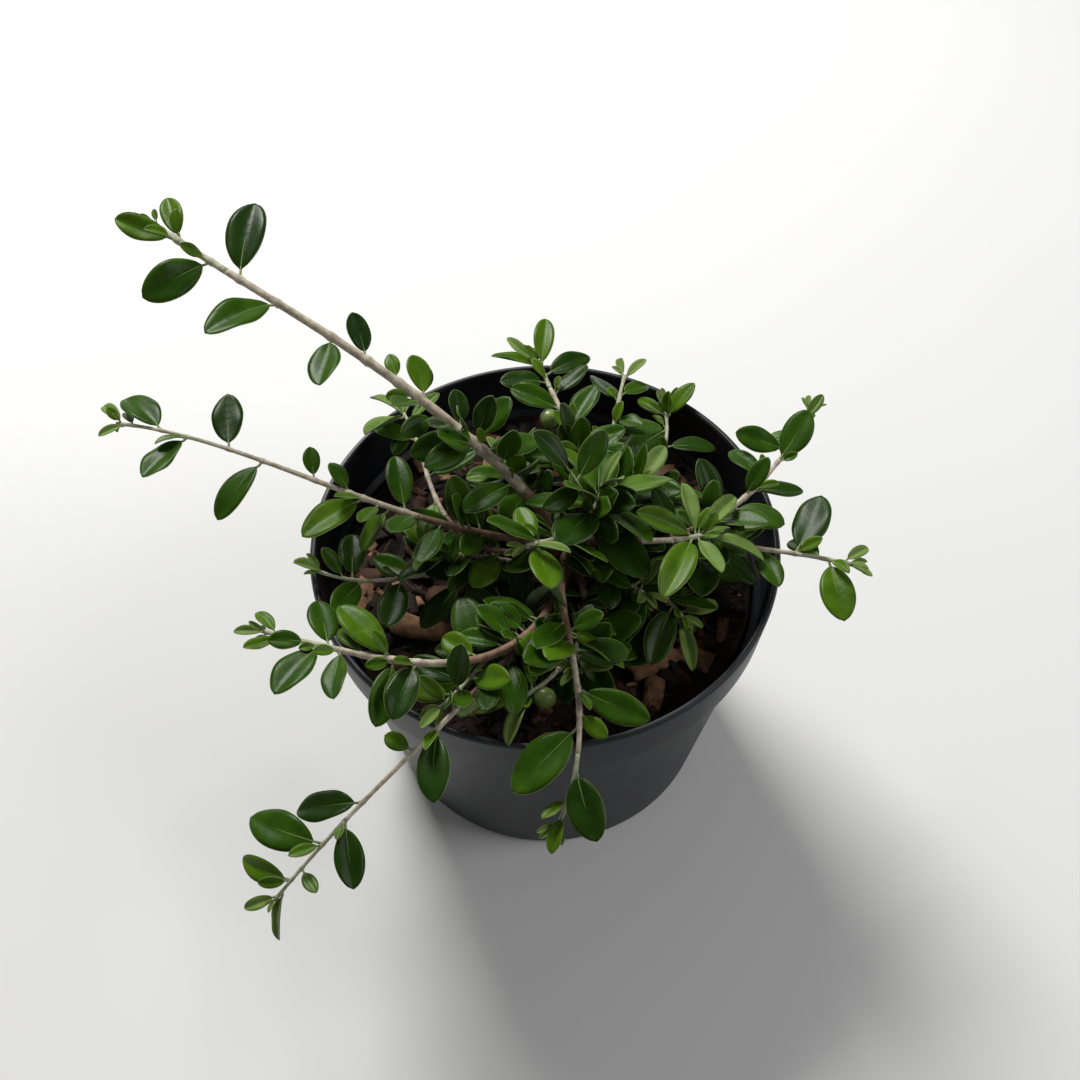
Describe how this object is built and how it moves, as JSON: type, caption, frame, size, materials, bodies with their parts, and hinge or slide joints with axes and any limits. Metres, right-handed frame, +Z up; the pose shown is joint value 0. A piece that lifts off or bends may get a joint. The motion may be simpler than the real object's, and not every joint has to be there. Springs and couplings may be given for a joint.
{
  "type": "potted coral beauty cotoneaster",
  "caption": "Young spreading cotoneaster shrub with arching leafy shoots, growing in a round nursery pot filled with bark mix.",
  "frame": {"origin": "middle of the pot's flat underside, which it stands on", "axes": "+Z up out of the pot; -Y is the front, towards the viewer; +X is the viewer's right"},
  "size_m": [0.2288, 0.1821, 0.1702],
  "materials": {
    "pot_plastic": "matte charcoal moulded plastic",
    "bark_mix": "coarse bark chips over dark fibrous mix",
    "bark": "thin reddish brown bark",
    "foliage": "semi-gloss green leaves with paler undersides, hairy young tips"
  },
  "bodies": {
    "root": {"back_bough": "bark", "back_foliage": "foliage", "back_right_bough": "bark", "back_right_foliage": "foliage", "crown_foliage": "foliage", "far_left_bough": "bark", "far_left_foliage": "foliage", "far_right_bough": "bark", "far_right_foliage": "foliage", "fore_foliage": "foliage", "front_bough": "bark", "front_foliage": "foliage", "front_inner_bough": "bark", "front_inner_foliage": "foliage", "front_knot_foliage": "foliage", "front_left_bough": "bark", "front_left_foliage": "foliage", "high_left_bough": "bark", "high_left_foliage": "foliage", "inner_left_foliage": "foliage", "inner_right_foliage": "foliage", "low_right_bough": "bark", "low_right_foliage": "foliage", "mid_left_bough": "bark", "mid_left_foliage": "foliage", "pot": "pot_plastic", "potting_mix": "bark_mix", "rear_left_bough": "bark", "rear_left_foliage": "foliage", "rear_right_foliage": "foliage", "rear_tuft_foliage": "foliage", "right_bough": "bark", "right_foliage": "foliage", "right_rosette_bough": "bark", "right_rosette_foliage": "foliage", "rim_left_bough": "bark", "rim_left_foliage": "foliage", "side_back_bough": "bark", "side_back_foliage": "foliage", "side_left_foliage": "foliage", "trailing_bough": "bark", "trailing_foliage": "foliage", "trunk": "bark", "upper_right_bough": "bark", "upper_right_foliage": "foliage"}
  },
  "joints": []
}
